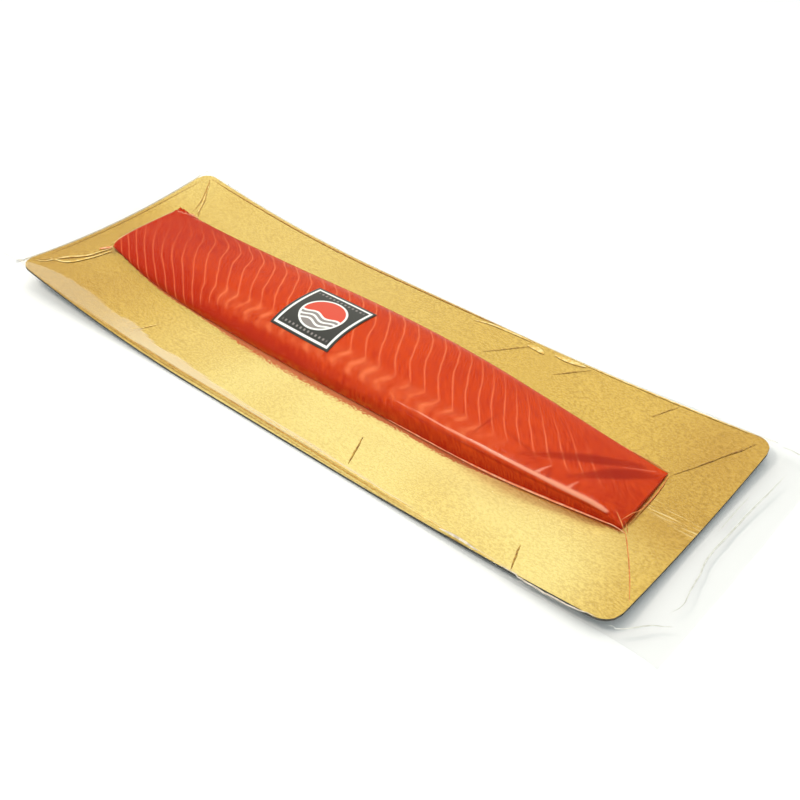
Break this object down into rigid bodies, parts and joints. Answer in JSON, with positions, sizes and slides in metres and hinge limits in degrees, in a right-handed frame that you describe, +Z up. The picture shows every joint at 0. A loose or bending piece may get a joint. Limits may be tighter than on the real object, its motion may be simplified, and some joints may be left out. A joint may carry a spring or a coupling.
{
  "type": "vacuum-packed smoked salmon fillet",
  "caption": "Long strip of smoked salmon fillet on a gold-faced board, sealed under clear film with a square sticker.",
  "frame": {"origin": "middle of the pack's outline, on the level its flat underside rests on", "axes": "+X along the pack, towards the end where the fillet tapers thin; +Y across it, away from the fillet's thick upright edge; +Z up"},
  "size_m": [0.448, 0.152, 0.021],
  "materials": {
    "salmon": "moist smoked salmon under tight clear film, orange-red with pale curved lines",
    "gold_board": "gold foil laminated on board, finely embossed, satin",
    "clear_film": "clear vacuum-pack film, glossy, with fine creases",
    "sticker": "printed paper sticker, charcoal with a white border and an orange-red field"
  },
  "bodies": {
    "root": {"fillet": "salmon", "card": "gold_board", "film_top": "clear_film", "film_bottom": "clear_film", "label": "sticker"}
  },
  "joints": []
}
